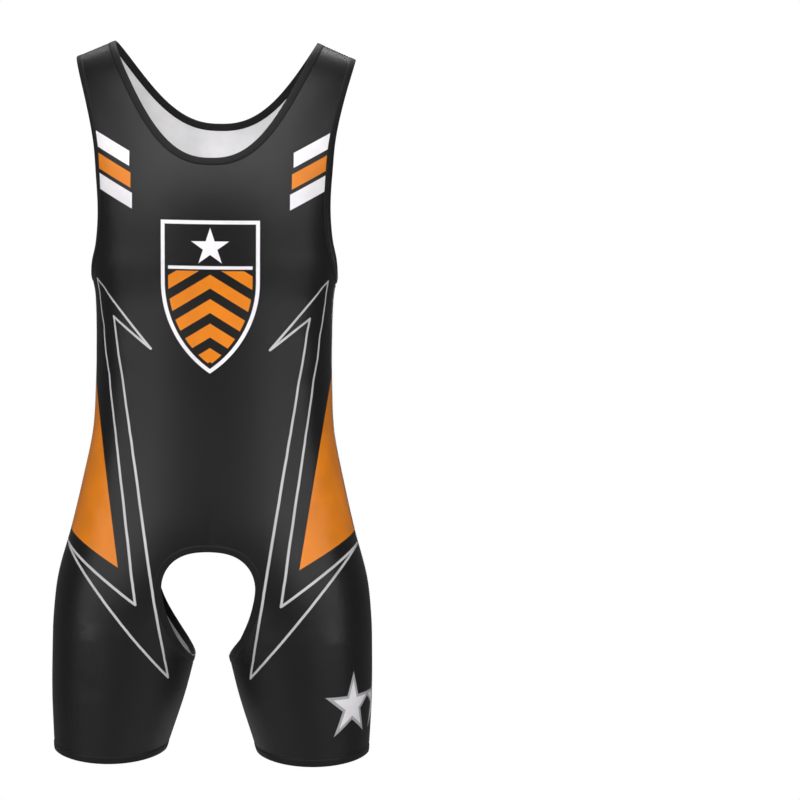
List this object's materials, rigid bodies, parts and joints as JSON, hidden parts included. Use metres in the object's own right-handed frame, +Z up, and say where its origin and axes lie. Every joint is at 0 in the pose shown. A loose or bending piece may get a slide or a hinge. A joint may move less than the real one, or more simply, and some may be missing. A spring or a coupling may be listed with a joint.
{
  "type": "wrestling singlet",
  "caption": "Sleeveless one-piece wrestling singlet with shoulder straps, scoop neck, short legs and an arched opening between the legs.",
  "frame": {"origin": "midway between the two shoulder straps, level with where they rest on the wearer's shoulders", "axes": "+Z up along the wearer, +X towards the wearer's left, the front faces -Y"},
  "size_m": [0.397, 0.2272, 0.8862],
  "materials": {
    "knit": "smooth stretch knit with a soft sheen, printed in orange and white",
    "binding": "matt stretch binding"
  },
  "bodies": {
    "root": {"front_panel": "knit", "back_panel": "knit", "neck_binding": "binding", "armhole_binding_left": "binding", "armhole_binding_right": "binding", "opening_binding": "binding", "leg_hem_left": "binding", "leg_hem_right": "binding"}
  },
  "joints": []
}
